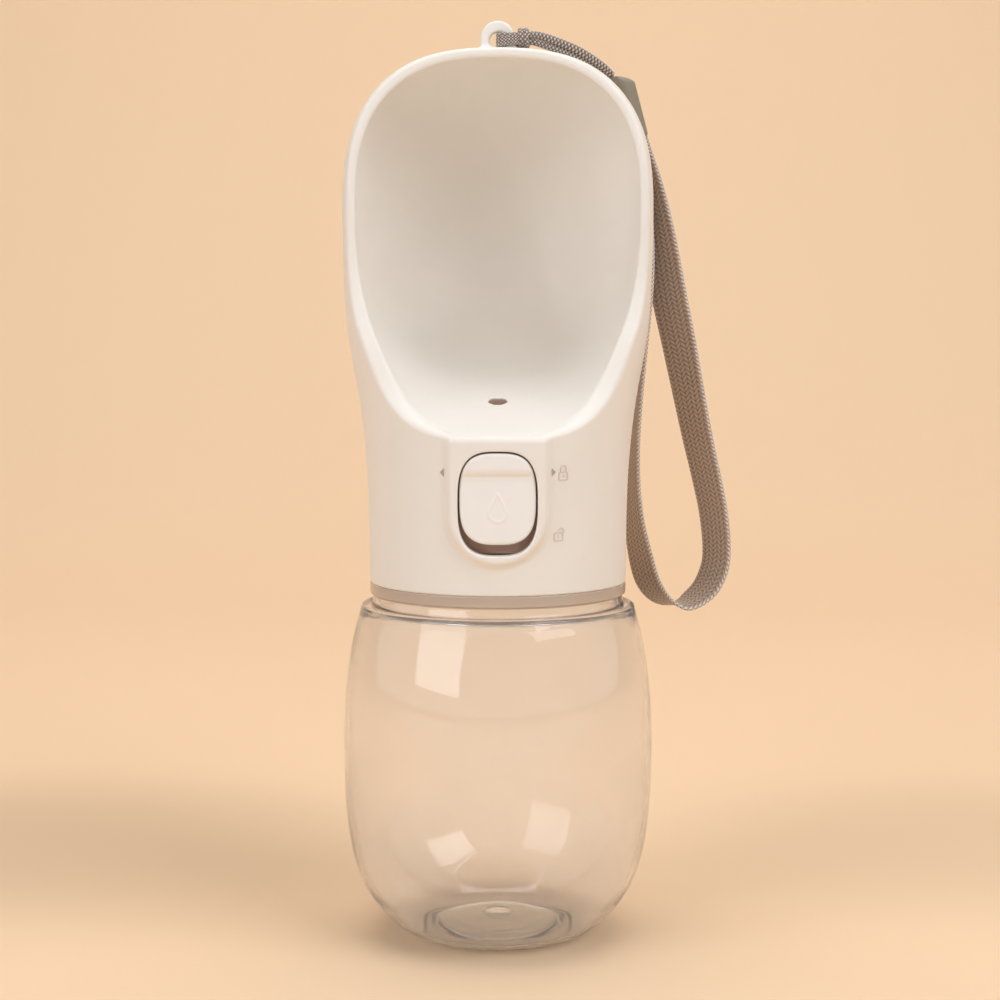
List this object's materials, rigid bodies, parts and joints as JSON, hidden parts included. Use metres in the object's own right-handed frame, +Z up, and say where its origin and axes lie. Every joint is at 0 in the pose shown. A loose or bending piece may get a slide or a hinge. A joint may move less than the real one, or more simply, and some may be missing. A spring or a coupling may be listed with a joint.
{
  "type": "pet travel water bottle",
  "caption": "Clear screw-on bottle under a white head with an open drinking scoop, a locking push button, a spring valve and a webbing wrist loop.",
  "frame": {"origin": "centre of the bottle's standing ring, on the surface it stands on", "axes": "+Z up along the bottle's axis; -Y is the front, with the button and the open side of the scoop; +X is the side where the wrist loop hangs"},
  "size_m": [0.0949, 0.0746, 0.2187],
  "materials": {
    "clear_plastic": "clear moulded plastic",
    "silicone": "soft matt silicone",
    "white_plastic": "satin, very fine texture",
    "inner_plastic": "satin",
    "slider_plastic": "satin",
    "black_rubber": "matt",
    "steel": "bright",
    "button_plastic": "satin",
    "cord": "braided",
    "clip_plastic": "satin",
    "webbing": "herringbone weave"
  },
  "bodies": {
    "bottle": {"bottle": "clear_plastic"},
    "gasket_ring": {"mouth_gasket": "silicone"},
    "head": {"housing": "white_plastic", "inner_cap": "inner_plastic", "valve_chamber": "inner_plastic", "outlet_seal": "silicone", "stem_seal": "black_rubber", "gland_cap": "inner_plastic", "valve_spring": "steel", "slider_guide": "inner_plastic", "guide_screws": "steel"},
    "slider": {"push_slider": "slider_plastic"},
    "push_button": {"button": "button_plastic"},
    "stem": {"valve_stem": "inner_plastic", "valve_plug": "silicone", "plug_clip": "steel", "cross_pin": "steel"},
    "lanyard": {"lanyard_cord": "cord", "cord_knot": "cord", "lanyard_clip": "clip_plastic", "lanyard_webbing": "webbing"}
  },
  "joints": [
    {"name": "head_lift", "type": "slide", "parent": "bottle", "child": "gasket_ring", "axis": [0, 0, 1], "range_m": [0, 0.0046]},
    {"name": "unscrew_head", "type": "hinge", "parent": "gasket_ring", "child": "head", "pos_m": [0, 0, 0.0912], "axis": [0, 0, 1], "range_deg": [0, 540]},
    {"name": "press", "type": "slide", "parent": "head", "child": "slider", "axis": [0, 1, 0], "range_m": [0, 0.003], "stiffness_N_per_m": 600, "springref_m": -0.003},
    {"name": "lock_slide", "type": "slide", "parent": "slider", "child": "push_button", "axis": [0, 0, -1], "range_m": [0, 0.0021]},
    {"name": "valve_open", "type": "slide", "parent": "head", "child": "stem", "axis": [0, 0, -1], "range_m": [0, 0.0031], "deforming": ["valve_spring"]},
    {"name": "lanyard_swing", "type": "hinge", "parent": "head", "child": "lanyard", "pos_m": [0, 0.002, 0.2148], "axis": [0, -1, 0], "range_deg": [0, 120]}
  ],
  "couplings": [
    {"joint": "head_lift", "follows": "unscrew_head", "m_per_rad": 0.00047746},
    {"joint": "valve_open", "follows": "press", "ratio": 1}
  ]
}
